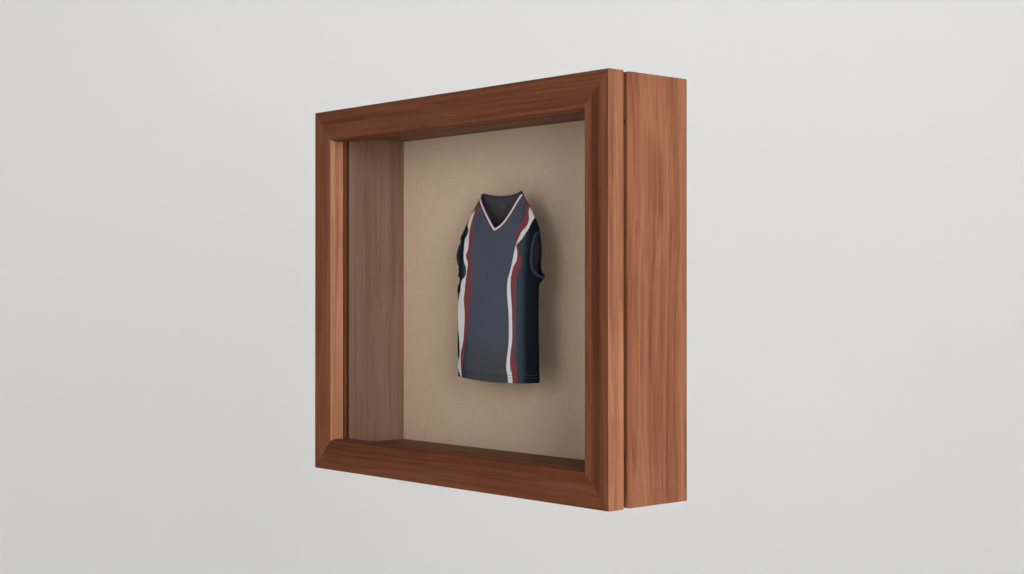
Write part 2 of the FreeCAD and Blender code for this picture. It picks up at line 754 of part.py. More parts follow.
def write_out():
    """Stops if anything failed, then writes one STEP file per sub-part."""
    for obj in doc.Objects:
        if {"Invalid", "Error"} & set(obj.State):
            raise RuntimeError(f"{obj.Label} did not build: {obj.State}")
    os.makedirs("parts", exist_ok=True)
    for obj, solids in finished:
        shape = obj.Shape
        if shape.isNull() or not shape.isValid() or len(shape.Solids) != solids:
            raise RuntimeError(f"{obj.Label} has {len(shape.Solids)} solids, not {solids}, or is not valid")
        shape.exportStep(f"parts/{obj.Label}.step")
        b = shape.BoundBox
        print(f"{obj.Label:24} {shape.Volume / 1000:10.2f} cm3  x {b.XMin:8.2f} {b.XMax:8.2f}"
              f"  y {b.YMin:8.2f} {b.YMax:8.2f}  z {b.ZMin:8.2f} {b.ZMax:8.2f}")
    print(len(finished), "sub-parts")


build()
write_out()
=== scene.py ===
import math

import bmesh
import bpy
import numpy as np
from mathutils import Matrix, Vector


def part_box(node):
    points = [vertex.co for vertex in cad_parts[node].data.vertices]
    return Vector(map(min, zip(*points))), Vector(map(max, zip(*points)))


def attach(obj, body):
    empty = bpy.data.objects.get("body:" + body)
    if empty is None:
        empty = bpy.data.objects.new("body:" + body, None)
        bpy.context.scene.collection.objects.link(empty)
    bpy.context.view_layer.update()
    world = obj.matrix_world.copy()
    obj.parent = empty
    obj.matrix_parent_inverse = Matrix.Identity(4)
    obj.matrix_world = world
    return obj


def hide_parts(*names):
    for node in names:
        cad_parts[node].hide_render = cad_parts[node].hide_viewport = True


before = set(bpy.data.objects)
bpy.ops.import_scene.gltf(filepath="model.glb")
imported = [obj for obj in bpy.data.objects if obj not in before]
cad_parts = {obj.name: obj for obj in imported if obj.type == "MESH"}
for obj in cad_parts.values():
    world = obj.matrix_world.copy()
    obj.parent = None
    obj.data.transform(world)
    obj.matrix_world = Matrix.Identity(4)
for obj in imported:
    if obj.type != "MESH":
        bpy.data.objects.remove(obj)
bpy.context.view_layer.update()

MM = 0.001

# ---- what the cloth and the form are cut to, in millimetres ----

# The jersey's girth from the hem up: level, half width, half depth, and its middle's distance from the wall.
GIRTHS = (
    (-141, 95, 16, 53.5),
    (-60, 95, 16, 55),
    (18, 94, 16, 54),
    (60, 97, 15, 51),
    (92, 91, 13, 48),
    (118, 75, 10.5, 46.5),
    (140, 57, 8.5, 46),
    (154, 46, 7, 46),
)
HEM, STRAP_TOP, COLLAR_TOP = -141, 148, 154
COLLAR_DIP = 6
NECK_LOW, NECK_HALF = 95, 50
ARM_LOW, ARM_HIGH = 20, 88
FRONT_ARM_CUT, BACK_ARM_CUT = 15, 3
# Below the waist the panels run out to the curved hem; above the yoke the back runs up to the dipped collar.
WAIST, YOKE = -60, 120
CELL, COLUMNS = 4.0, 26
THREAD_ROWS = (2, 3)

# How the cloth is let settle over its form: frames simulated, and how far a point may move, in metres.
SETTLE_FRAMES = 16
SETTLE_REACH = 0.004
CLOTH_THICK = 0.0009

# Edges of the printed stripes on the front: (level, distance from the middle), in millimetres.
RIGHT_UPPER = (
    ((70, 52), (87, 50), (99, 56), (114, 63), (132, 60)),
    ((70, 52.4), (89, 61), (105, 72), (120, 69), (132, 66)),
    ((70, 52.8), (86, 69), (101, 77), (114, 80), (132, 80)),
)
RIGHT_LOWER = (
    ((-146, 38), (-130, 38), (-120, 36), (-109, 37), (-78, 42),
     (-37, 42), (-8, 39), (9, 39), (37, 46), (70, 52)),
    ((-146, 48), (-130, 48), (-119, 44.5), (-99, 45), (-78, 49), (-37, 49), (17, 46.5), (35, 50), (50, 57),
     (70, 52.4)),
    ((-146, 58), (-119, 58), (-107, 54), (-78, 53.5), (-37, 54.5), (8, 56.5), (32, 62), (41, 67), (54, 63),
     (70, 52.8)),
)
LEFT = (
    ((-146, 80), (-135, 84), (-125, 92), (-112, 88), (-101, 83), (-49, 87), (-27, 87), (15, 76), (28, 63),
     (48, 72), (65, 75), (80, 75), (97, 69), (106, 74), (124, 64)),
    ((-146, 77), (-135, 78), (-107, 80), (-77, 70), (-38, 66),
     (-17, 68), (5, 65), (30, 61), (43, 60), (56, 67),
     (65, 63), (97, 64), (124, 58)),
    ((-146, 75), (-135, 77), (-113, 71), (-96, 68), (-70, 60), (-38, 54), (15, 48.5), (43, 50), (56, 55.5),
     (69, 52), (105, 55), (124, 50)),
)


# ---- materials ----

class Finish:
    """A material whose nodes are added and joined one call at a time."""

    def __init__(self, name):
        self.material = bpy.data.materials.new(name)
        self.material.use_nodes = True
        self.tree = self.material.node_tree
        self.shader = self.tree.nodes["Principled BSDF"]

    def feed(self, socket, value):
        if isinstance(value, bpy.types.NodeSocket):
            self.tree.links.new(value, socket)
        else:
            socket.default_value = value

    def add(self, kind, inputs=(), **settings):
        """A node with its settings made and its inputs, (name or number, value), fed."""
        node = self.tree.nodes.new(f"ShaderNode{kind}")
        for key, value in settings.items():
            setattr(node, key, value)
        for key, value in inputs:
            self.feed(node.inputs[key], value)
        return node

    def sum(self, operation, a, b=0.0, c=0.0):
        node = self.add("Math", [(0, a), (1, b), (2, c)], operation=operation)
        return node.outputs[0]

    def place(self):
        """Where the point is in the row frame, as (x, y, z)."""
        spot = self.add("TexCoord").outputs["Object"]
        return self.split(spot)

    def split(self, vector):
        return tuple(self.add("SeparateXYZ", [("Vector", vector)]).outputs)

    def join(self, x, y, z):
        return self.add("CombineXYZ", [("X", x), ("Y", y), ("Z", z)]).outputs[0]

    def stretch(self, vector, scale, shift=(0, 0, 0)):
        node = self.add("Mapping", [("Vector", vector), ("Location", shift), ("Scale", scale)])
        return node.outputs[0]

    def noise(self, vector, scale=1.0, detail=2.0, roughness=0.5, distortion=0.0):
        node = self.add("TexNoise", [("Vector", vector), ("Scale", scale), ("Detail", detail),
                                     ("Roughness", roughness), ("Distortion", distortion)])
        return node.outputs["Fac"]

    def ramp(self, factor, stops):
        node = self.add("ValToRGB", [("Fac", factor)])
        elements = node.color_ramp.elements
        elements[0].position, elements[0].color = stops[0][0], (*stops[0][1], 1)
        elements[1].position, elements[1].color = stops[-1][0], (*stops[-1][1], 1)
        for position, colour in stops[1:-1]:
            elements.new(position).color = (*colour, 1)
        return node.outputs["Color"]

    def mix(self, factor, a, b, mode="MIX"):
        colours = [(6, a if isinstance(a, bpy.types.NodeSocket) else (*a, 1)),
                   (7, b if isinstance(b, bpy.types.NodeSocket) else (*b, 1))]
        node = self.add("Mix", [(0, factor), *colours], data_type="RGBA", blend_type=mode)
        return node.outputs[2]

    def smooth(self, value, low, high):
        node = self.add("MapRange", [("Value", value), ("From Min", low), ("From Max", high)],
                        interpolation_type="SMOOTHSTEP")
        return node.outputs["Result"]

    def between(self, value, low, high, soft):
        """1 where low < value < high, with edges of a given softness."""
        above = self.smooth(self.sum("SUBTRACT", value, low), -soft, soft)
        below = self.smooth(self.sum("SUBTRACT", value, high), soft, -soft)
        return self.sum("MULTIPLY", above, below)

    def bump(self, height, distance, strength=1.0):
        inputs = [("Height", height), ("Distance", distance), ("Strength", strength)]
        return self.add("Bump", inputs).outputs["Normal"]

    def worn_edges(self, radius):
        """1 on rounded edges, 0 on flat faces."""
        rounded = self.add("Bevel", [("Radius", radius)], samples=4).outputs["Normal"]
        flat = self.add("NewGeometry").outputs["Normal"]
        dot = self.add("VectorMath", [(0, rounded), (1, flat)], operation="DOT_PRODUCT").outputs["Value"]
        return self.smooth(dot, 0.995, 0.86)

    def surface(self, shader):
        """Makes another shader the material's surface, and gives the material back."""
        output = next(node for node in self.tree.nodes if node.type == "OUTPUT_MATERIAL")
        self.tree.links.new(shader.outputs[0], output.inputs["Surface"])
        return self.material

    def done(self, **values):
        """Sets the shader's own sockets, by name with _ for a space, and gives the material back."""
        for key, value in values.items():
            self.feed(self.shader.inputs[key.replace("_", " ")], value)
        return self.material


def wood(name, along, seed, front, side, contrast, dark=None):
    """Solid wood with its grain along one axis; front and side tint its faces to the front and to the sides,
    as painted light and shade: where they differ, the side faces are painted lighter and paler, as if lit
    from the side.

    dark is (from, to, depth) of a dark streak that runs the length of the piece.
    """
    paint = Finish(name)
    x, y, z = paint.place()
    across, length = (z, x) if along == "x" else (x, z)
    own_place = (seed * 0.173, seed * 0.097, seed * 0.731)
    moved = paint.stretch(paint.join(across, y, length), (1, 1, 1), own_place)
    sway = paint.noise(paint.stretch(moved, (4, 4, 2.4)), detail=1.0)
    ripple = paint.noise(paint.stretch(moved, (28, 28, 9)), detail=2.0)
    bend = paint.sum("MULTIPLY_ADD", sway, 0.034, paint.sum("MULTIPLY", ripple, 0.0045))
    push = paint.join(bend, bend, 0.0)
    swept = paint.add("VectorMath", [(0, moved), (1, push)], operation="ADD").outputs[0]
    broad = paint.noise(paint.stretch(swept, (46, 46, 1.2)), detail=4.0, roughness=0.64)
    narrow = paint.noise(paint.stretch(swept, (300, 300, 3.6)), detail=3.0, roughness=0.65)
    fibre = paint.noise(paint.stretch(moved, (820, 820, 14)), detail=2.0, roughness=0.6)
    lines = paint.sum("FRACT", paint.sum("MULTIPLY", paint.split(swept)[0], 95.0))
    late = paint.sum("MULTIPLY", paint.smooth(lines, 0.0, 0.85), paint.smooth(lines, 1.0, 0.9))
    shade = paint.sum("MULTIPLY_ADD", broad, 1.05, paint.sum("MULTIPLY", narrow, 0.62))
    shade = paint.sum("MULTIPLY_ADD", fibre, 0.18, shade)
    shade = paint.sum("MULTIPLY_ADD", late, 0.06, shade)
    shade = paint.sum("MULTIPLY_ADD", paint.sum("SUBTRACT", shade, 0.95), contrast, 0.50)
    colour = paint.ramp(shade, WALNUT)
    pores = paint.smooth(paint.noise(paint.stretch(moved, (1700, 1700, 48)), detail=1.0), 0.64, 0.76)
    colour = paint.mix(paint.sum("MULTIPLY", pores, 0.30), colour, (0.060, 0.020, 0.010))
    if dark is not None:
        low, high, depth = dark
        stripe = paint.between(paint.sum("MULTIPLY_ADD", sway, 0.010, across), low, high, 0.0045)
        colour = paint.mix(paint.sum("MULTIPLY", stripe, depth), colour, (0.085, 0.026, 0.012))
    # Painted shade: darker towards the rear edge, where the case meets the wall.
    painted_rear_shade = paint.smooth(y, -0.0045, -0.0008)
    colour = paint.mix(paint.sum("MULTIPLY", painted_rear_shade, 0.55), colour, (0.10, 0.042, 0.026))
    worn = paint.worn_edges(0.0012)
    colour = paint.mix(paint.sum("MULTIPLY", worn, 0.10), colour, (0.50, 0.24, 0.13))
    # Painted light and shade: faces turned to the sides take the side tint, faces turned to the front the
    # front tint.
    painted_light_by_facing = paint.sum("ABSOLUTE", paint.split(paint.add("NewGeometry").outputs["Normal"])[0])
    colour = paint.mix(paint.smooth(painted_light_by_facing, 0.4, 0.9), paint.mix(1.0, colour, front, "MULTIPLY"),
                       paint.mix(1.0, colour, side, "MULTIPLY"))
    rubbed = paint.noise(paint.stretch(moved, (30, 30, 9)), detail=3.0)
    rough = paint.sum("MULTIPLY_ADD", rubbed, 0.14, paint.sum("MULTIPLY_ADD", pores, 0.10, 0.48))
    height = paint.sum("SUBTRACT", paint.sum("MULTIPLY", fibre, 0.3), pores)
    normal = paint.bump(height, 0.0001, 0.5)
    return paint.done(Base_Color=colour, Roughness=rough, Normal=normal, Specular_IOR_Level=0.08)


WALNUT = ((0.28, (0.470, 0.190, 0.092)), (0.44, (0.390, 0.148, 0.068)), (0.56, (0.310, 0.110, 0.048)),
          (0.68, (0.240, 0.078, 0.034)), (0.84, (0.150, 0.046, 0.020)))
HARDBOARD = ((0.3, (0.175, 0.098, 0.052)), (0.7, (0.115, 0.062, 0.032)))


def birch_ply(name):
    """Sawn plywood: thin light and dark plies with rough fibres."""
    paint = Finish(name)
    x, y, z = paint.place()
    plies = paint.sum("SINE", paint.sum("MULTIPLY", y, 2 * math.pi / 0.0016))
    fibre = paint.noise(paint.stretch(paint.join(x, y, z), (900, 300, 60)), detail=3.0)
    shade = paint.sum("MULTIPLY_ADD", plies, 0.16, fibre)
    colour = paint.ramp(shade, ((0.3, (0.72, 0.55, 0.36)), (0.75, (0.48, 0.32, 0.18))))
    return paint.done(Base_Color=colour, Roughness=0.72, Normal=paint.bump(fibre, 0.0002, 0.5))


def pressed_board(name, stops, rough):
    """Fibreboard: fine random fibres with soft blotches and a faint sheen."""
    paint = Finish(name)
    spot = paint.add("TexCoord").outputs["Object"]
    fibre = paint.noise(spot, scale=1400.0, detail=4.0, roughness=0.7, distortion=0.6)
    blotch = paint.noise(spot, scale=26.0, detail=3.0)
    scuff = paint.smooth(paint.noise(paint.stretch(spot, (9, 9, 160)), detail=3.0), 0.62, 0.8)
    shade = paint.sum("MULTIPLY_ADD", blotch, 0.45, paint.sum("MULTIPLY", fibre, 0.55))
    colour = paint.mix(paint.sum("MULTIPLY", scuff, 0.25), paint.ramp(shade, stops), (0.42, 0.33, 0.25))
    gloss = paint.sum("MULTIPLY_ADD", blotch, 0.2, rough)
    return paint.done(Base_Color=colour, Roughness=gloss, Normal=paint.bump(fibre, 0.00015, 0.5))


def glass(name):
    """Anti-reflection glass: clear face on, a mirror only at a glancing look, with a faint film."""
    paint = Finish(name)
    spot = paint.add("TexCoord").outputs["Object"]
    film = paint.noise(spot, scale=9.0, detail=5.0, roughness=0.6)
    smear = paint.noise(paint.stretch(spot, (5, 5, 38), (0.3, 0, 0.1)), detail=3.0)
    dullness = paint.sum("ADD", paint.sum("MULTIPLY", film, 0.08), paint.sum("MULTIPLY", smear, 0.05))
    through = paint.add("BsdfTransparent", [("Color", (0.955, 0.968, 0.960, 1))])
    gloss = paint.add("BsdfGlossy", [("Color", (1, 1, 1, 1)), ("Roughness", dullness)])
    slant = paint.add("LayerWeight", [("Blend", 0.5)]).outputs["Facing"]
    fresnel = paint.sum("MULTIPLY_ADD", paint.sum("POWER", slant, 5.0), 0.92, -0.014)
    mirror = paint.sum("MAXIMUM", fresnel, 0.0)
    clear = paint.add("MixShader", [(0, mirror), (1, through.outputs[0]), (2, gloss.outputs[0])])
    paint.tree.nodes.remove(paint.shader)
    return paint.surface(clear)


def metal(name, colour, rough, along=(60, 60, 900), stain=(0.4, 0.3, 0.2)):
    """Plated or brushed metal with fine drawn lines, dull patches and brighter rubbed edges."""
    paint = Finish(name)
    spot = paint.add("TexCoord").outputs["Object"]
    lines = paint.noise(paint.stretch(spot, along), detail=2.0)
    patch = paint.noise(spot, scale=120.0, detail=3.0)
    dull = paint.smooth(patch, 0.5, 0.75)
    worn = paint.worn_edges(0.0005)
    base = paint.mix(paint.sum("MULTIPLY", dull, 0.35), colour, stain)
    bright = tuple(min(1.0, c * 1.25) for c in colour)
    base = paint.mix(paint.sum("MULTIPLY", worn, 0.6), base, bright)
    gloss = paint.sum("MULTIPLY_ADD", lines, 0.18, paint.sum("MULTIPLY_ADD", dull, 0.15, rough))
    return paint.done(Base_Color=base, Metallic=1.0, Roughness=gloss, Normal=paint.bump(lines, 0.00004, 0.5))


def rubber(name, colour, grain):
    """Closed-cell foam or rubber with fine open pores at the cut skin."""
    paint = Finish(name)
    spot = paint.add("TexCoord").outputs["Object"]
    cells = paint.add("TexVoronoi", [("Vector", spot), ("Scale", grain)]).outputs["Distance"]
    patch = paint.noise(spot, scale=45.0, detail=3.0)
    light = tuple(c * 2.2 for c in colour)
    base = paint.mix(paint.smooth(patch, 0.3, 0.8), colour, light)
    base = paint.mix(paint.smooth(cells, 0.25, 0.0), base, tuple(c * 0.4 for c in colour))
    gloss = paint.sum("MULTIPLY_ADD", patch, 0.15, 0.72)
    return paint.done(Base_Color=base, Roughness=gloss, Normal=paint.bump(cells, 0.0003, 0.6),
                      Specular_IOR_Level=0.12)


def linen(name):
    """Plain-woven linen: uneven warp and weft threads, slubs, and a slow change of tone."""
    paint = Finish(name)
    x, y, z = paint.place()
    flat = paint.join(x, z, 0.0)
    wander = paint.noise(flat, scale=60.0, detail=2.0)
    pitch = 0.00085
    warp_at = paint.sum("MULTIPLY_ADD", wander, 5.0, paint.sum("MULTIPLY", x, 2 * math.pi / pitch))
    weft_at = paint.sum("MULTIPLY_ADD", wander, -5.0, paint.sum("MULTIPLY", z, 2 * math.pi / pitch))
    weave = paint.sum("MULTIPLY", paint.sum("SINE", warp_at), paint.sum("SINE", weft_at))
    warp_tone = paint.noise(paint.stretch(flat, (620, 26, 1)), detail=2.0)
    weft_tone = paint.noise(paint.stretch(flat, (26, 620, 1), (3.1, 1.7, 0)), detail=2.0)
    slub = paint.smooth(paint.noise(paint.stretch(flat, (70, 900, 1), (1.3, 0, 0)), detail=1.0), 0.66, 0.8)
    cloud = paint.noise(flat, scale=7.0, detail=3.0)
    tone = paint.sum("MULTIPLY_ADD", warp_tone, 0.5, paint.sum("MULTIPLY", weft_tone, 0.5))
    tone = paint.sum("MULTIPLY_ADD", paint.sum("MULTIPLY", weave, 0.5), 0.10, tone)
    tone = paint.sum("MULTIPLY_ADD", cloud, 0.16, tone)
    colour = paint.ramp(tone, ((0.36, (0.610, 0.445, 0.328)), (0.58, (0.685, 0.505, 0.378)),
                               (0.80, (0.725, 0.552, 0.425))))
    colour = paint.mix(paint.sum("MULTIPLY", slub, 0.20), colour, (0.76, 0.66, 0.50))
    height = paint.sum("MULTIPLY_ADD", weave, 0.4, paint.sum("MULTIPLY", tone, 0.6))
    return paint.done(Base_Color=colour, Roughness=0.86, Normal=paint.bump(height, 0.00012, 0.4),
                      Specular_IOR_Level=0.2)


STRIPE_LOW, STRIPE_HIGH, STRIPE_REACH = -150.0, 160.0, 110.0


def stripe_edge(paint, level, points):
    """One drawn edge of a stripe, as its distance from the middle in metres at each level."""
    node = paint.add("FloatCurve", [("Value", level)])
    curve = node.mapping.curves[0]
    spots = [((z - STRIPE_LOW) / (STRIPE_HIGH - STRIPE_LOW), x / STRIPE_REACH) for z, x in points]
    curve.points[0].location = spots[0]
    curve.points[-1].location = spots[-1]
    for spot in spots[1:-1]:
        curve.points.new(*spot)
    node.mapping.update()
    return paint.sum("MULTIPLY", node.outputs["Value"], STRIPE_REACH * MM)


NAVY, GREYER_NAVY = (0.074, 0.081, 0.119), (0.068, 0.068, 0.080)
# The side navy is the side panels' darker cloth with painted shade in it; the near-black navy is painted
# shade.
SIDE_NAVY_AND_SHADE, NAVY_PAINTED_SHADE = (0.044, 0.057, 0.084), (0.003, 0.006, 0.013)
DARK_RED = (0.190, 0.036, 0.056)
WHITE, RED = (0.77, 0.72, 0.77), (0.225, 0.048, 0.056)


def knit(paint, across, along, colour, wale=0.0011):
    """Finishes a fabric colour as a fine knit, with wales up the cloth and courses across it."""
    spot = paint.join(across, along, 0.0)
    jitter = paint.noise(spot, scale=300.0, detail=2.0)
    wales = paint.sum("SINE", paint.sum("MULTIPLY_ADD", across, 2 * math.pi / wale, jitter))
    courses = paint.sum("SINE", paint.sum("MULTIPLY_ADD", along, 2 * math.pi / (wale * 0.8), jitter))
    loops = paint.sum("MULTIPLY_ADD", wales, 0.6, paint.sum("MULTIPLY", courses, 0.4))
    fuzz = paint.noise(spot, scale=1100.0, detail=2.0)
    fade = paint.noise(paint.stretch(spot, (24, 11, 1)), detail=3.0)
    light = paint.sum("MULTIPLY_ADD", fade, 0.30, paint.sum("MULTIPLY_ADD", fuzz, 0.22, 0.74))
    light = paint.sum("MULTIPLY_ADD", loops, 0.05, light)
    tinted = paint.add("HueSaturation", [("Color", colour), ("Value", light)]).outputs["Color"]
    gloss = paint.sum("MULTIPLY_ADD", fuzz, 0.12, 0.62)
    height = paint.sum("MULTIPLY_ADD", fuzz, 0.5, loops)
    return paint.done(Base_Color=tinted, Roughness=gloss, Normal=paint.bump(height, 0.00004, 0.3),
                      Specular_IOR_Level=0.10)


def cut_place(paint):
    """Where a point lies in the flat cut: (across, front or back, up)."""
    node = paint.add("Attribute", attribute_name="cut", attribute_type="GEOMETRY")
    return paint.split(node.outputs["Vector"])


def jersey_face(name):
    """The jersey's right side: navy, with red and white printed stripes down the front."""
    paint = Finish(name)
    across, side, up = cut_place(paint)
    level = paint.add(
        "MapRange", [("Value", up), ("From Min", STRIPE_LOW * MM), ("From Max", STRIPE_HIGH * MM)]
    ).outputs["Result"]
    soft = 0.00035
    front = paint.sum("GREATER_THAN", side, 0.0)
    mirrored = paint.sum("MULTIPLY", across, -1.0)

    def stripe_pair(edges, where, low, high):
        first, second, third = (stripe_edge(paint, level, edge) for edge in edges)
        span = paint.sum("MULTIPLY", front, paint.between(up, low * MM, high * MM, soft))
        inner = paint.sum("MULTIPLY", span, paint.between(where, first, second, soft))
        outer = paint.sum("MULTIPLY", span, paint.between(where, second, third, soft))
        return inner, outer

    off = paint.sum("ABSOLUTE", across)
    # Greyer navy towards the hem.
    colour = paint.mix(paint.smooth(up, -0.05, -0.13), NAVY, GREYER_NAVY)
    # Towards the side seams: a darker navy that is partly the side panels' own cloth and partly painted
    # shade, then a near-black navy that is painted shade, where the case's wall shades the jersey's sides.
    colour = paint.mix(paint.smooth(off, 0.057, 0.060), colour, SIDE_NAVY_AND_SHADE)
    colour = paint.mix(paint.smooth(off, 0.064, 0.081), colour, NAVY_PAINTED_SHADE)
    red_top, white_top = stripe_pair(RIGHT_UPPER, across, 70, 170)
    white_low, red_low = stripe_pair(RIGHT_LOWER, across, -160, 70)
    outer, middle, inner = LEFT
    red_left, white_left = stripe_pair((inner, middle, outer), mirrored, -160, 170)
    for mask, tint in ((red_top, RED), (red_low, RED), (red_left, RED),
                       (white_top, WHITE), (white_low, WHITE), (white_left, WHITE)):
        colour = paint.mix(mask, colour, tint)
    return knit(paint, across, up, colour)


def jersey_lining(name):
    """The cloth's wrong side: grey in the middle, with near-black navy painted shade towards the sides."""
    paint = Finish(name)
    across, _, up = cut_place(paint)
    patch = paint.noise(paint.join(across, up, 0.0), scale=40.0, detail=2.0)
    colour = paint.mix(patch, (0.050, 0.050, 0.056), (0.072, 0.072, 0.078))
    # Painted shade: near-black navy towards the sides of the inside of the cloth.
    colour = paint.mix(paint.smooth(paint.sum("ABSOLUTE", across), 0.038, 0.055), colour, NAVY_PAINTED_SHADE)
    return knit(paint, across, up, colour)


def trim_cloth(name, stops):
    """A ribbed binding: stops are (distance from its middle line in metres, colour)."""
    paint = Finish(name)
    across, _, along = cut_place(paint)
    off = paint.sum("ABSOLUTE", across)
    colour = stops[0][1]
    for start, tint in stops[1:]:
        colour = paint.mix(paint.smooth(off, start - 0.0002, start + 0.0002), colour, tint)
    return knit(paint, along, across, colour, wale=0.0014)


def thread(name, colour):
    """Twisted sewing thread."""
    paint = Finish(name)
    spot = paint.add("TexCoord").outputs["Object"]
    twist = paint.noise(paint.stretch(spot, (2600, 2600, 2600)), detail=1.0)
    light = paint.mix(twist, tuple(c * 0.6 for c in colour), tuple(min(1.0, c * 1.4) for c in colour))
    return paint.done(Base_Color=light, Roughness=0.6, Normal=paint.bump(twist, 0.0001, 0.5))


def paint_nodes():
    """Gives each carried-over CAD node its material."""
    steel = metal("bright_steel", (0.60, 0.60, 0.61), 0.28, stain=(0.42, 0.42, 0.42))
    zinc = metal("zinc_plate", (0.56, 0.57, 0.60), 0.34, along=(30, 30, 30), stain=(0.70, 0.68, 0.60))
    brass = metal("brass", (0.62, 0.44, 0.19), 0.26, stain=(0.30, 0.19, 0.09))
    black_nickel = metal("magnet_cups", (0.045, 0.040, 0.038), 0.42, stain=(0.02, 0.02, 0.02))
    brass_head = metal("brass_screws", (0.66, 0.48, 0.21), 0.24, along=(900, 900, 60),
                       stain=(0.33, 0.22, 0.11))
    aluminium = metal("post_aluminium", (0.70, 0.71, 0.72), 0.30, along=(60, 900, 60), stain=(0.5, 0.5, 0.5))
    ply = birch_ply("birch_ply")
    plain = {
        "glass_pane": glass("glass"),
        "glass_setting_blocks": rubber("black_rubber", (0.016, 0.016, 0.017), 2200.0),
        "back_panel": pressed_board("hardboard", HARDBOARD, 0.42),
        "backing_board": pressed_board(
            "grey_board", ((0.3, (0.50, 0.48, 0.44)), (0.7, (0.36, 0.34, 0.31))), 0.7
        ),
        "door_corner_keys": ply, "case_corner_splines": ply,
        "bead_brads": steel, "catch_strikes": black_nickel,
        "catch_magnets": black_nickel, "hinge_door_screws": brass_head, "hinge_case_screws": brass_head,
        "back_screws": steel, "hanger_screws": steel, "hanger_plates": zinc, "form_bolts": steel,
        "form_posts": aluminium,
    }
    for level in ("upper", "lower"):
        for part in ("hinge_door_leaf", "hinge_case_leaf", "hinge_pin"):
            plain[f"{level}_{part}"] = brass
    # Each board: grain axis, seed, front tint, side tint, grain contrast and dark streak. The front and side
    # tints are painted light and shade; where they differ, the side faces are painted lighter and paler.
    boards = {
        "door_top_rail": ("x", 1.0, (0.36, 0.315, 0.295), (0.60, 0.62, 0.70), 0.75, None),
        "door_bottom_rail": ("x", 2.3, (0.35, 0.295, 0.26), (0.60, 0.62, 0.70), 0.75, None),
        "door_left_stile": ("z", 3.1, (0.50, 0.455, 0.42), (0.76, 0.90, 1.14), 0.80, None),
        "door_right_stile": ("z", 4.4, (0.42, 0.385, 0.375), (0.72, 0.82, 0.98), 0.85, (0.322, 0.337, 0.55)),
        "case_top": ("x", 5.2, (0.55, 0.55, 0.62), (0.55, 0.55, 0.62), 0.9, None),
        "case_bottom": ("x", 6.7, (0.55, 0.55, 0.62), (0.55, 0.55, 0.62), 0.9, None),
        "case_left": ("z", 7.5, (0.55, 0.55, 0.62), (0.62, 0.62, 0.70), 0.9, None),
        "case_right": ("z", 8.6, (0.50, 0.50, 0.56), (0.57, 0.59, 0.68), 0.95, None),
    }
    for i, side in enumerate(("top", "bottom", "left", "right")):
        along = "x" if side in ("top", "bottom") else "z"
        boards[f"liner_{side}"] = (along, 9.3 + i * 1.7, (0.55, 0.68, 0.85), (0.73, 1.08, 1.80), 0.40, None)
        boards[f"glazing_bead_{side}"] = (along, 17.1 + i * 2.1, (0.5, 0.5, 0.5), (0.5, 0.5, 0.5), 0.6, None)
    for name, grain in boards.items():
        plain[name] = wood(f"walnut_{name}", *grain)
    for name, material in plain.items():
        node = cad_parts[name]
        node.data.materials.clear()
        node.data.materials.append(material)


# ---- mesh helpers ----

def mesh_piece(name, points, faces, materials):
    """A new smooth-shaded object from points in metres."""
    mesh = bpy.data.meshes.new(name)
    mesh.from_pydata([tuple(p) for p in points], [], faces)
    for material in materials:
        mesh.materials.append(material)
    mesh.polygons.foreach_set("use_smooth", [True] * len(mesh.polygons))
    mesh.update()
    piece = bpy.data.objects.new(name, mesh)
    bpy.context.scene.collection.objects.link(piece)
    return piece


def store_cut(piece, rows):
    """Keeps where each point lies in the flat cut, for the material to read."""
    attribute = piece.data.attributes.new("cut", "FLOAT_VECTOR", "POINT")
    attribute.data.foreach_set("vector", np.array(rows, np.float32).ravel())


def modifiers_applied(piece):
    """Replaces the piece's mesh by what its modifiers make of it."""
    graph = bpy.context.evaluated_depsgraph_get()
    made = bpy.data.meshes.new_from_object(piece.evaluated_get(graph))
    old = piece.data
    piece.modifiers.clear()
    piece.data = made
    bpy.data.meshes.remove(old)


def points_of(piece):
    return np.array([v.co for v in piece.data.vertices], float).reshape(-1, 3)


def sweep(path, normals, profile, closed=False):
    """Points and faces of a profile, (across, out) pairs, carried along a path that lies on a surface."""
    path, normals = np.array(path), np.array(normals)
    ahead = np.roll(path, -1, 0) - np.roll(path, 1, 0)
    if not closed:
        ahead[0], ahead[-1] = path[1] - path[0], path[-1] - path[-2]
    ahead /= np.linalg.norm(ahead, axis=1)[:, None]
    inward = np.cross(normals, ahead)
    inward /= np.linalg.norm(inward, axis=1)[:, None]
    normals = np.cross(ahead, inward)
    points, faces = [], []
    for spot, side, out in zip(path, inward, normals):
        points += [spot + side * a + out * b for a, b in profile]
    wide, long = len(profile), len(path)
    for i in range(long if closed else long - 1):
        for j in range(wide):
            here, there = i * wide, (i + 1) % long * wide
            faces.append((here + j, here + (j + 1) % wide, there + (j + 1) % wide, there + j))
    if not closed:
        faces.append(tuple(reversed(range(wide))))
        faces.append(tuple(range((long - 1) * wide, long * wide)))
    return points, faces


def pillow_profile(width, thick, steps=5):
    """A flattened round section, (across, out) pairs, that starts at the path and runs to one side."""
    profile = []
    for k in range(2 * steps):
        turn = math.pi * 2 * (k + 0.5) / (2 * steps)
        across = width / 2 * (1 - math.copysign(abs(math.cos(turn)) ** 0.6, math.cos(turn)))
        out = thick / 2 * math.copysign(abs(math.sin(turn)) ** 0.8, math.sin(turn))
        profile.append((across, -out))
    return profile


# ---- jersey ----

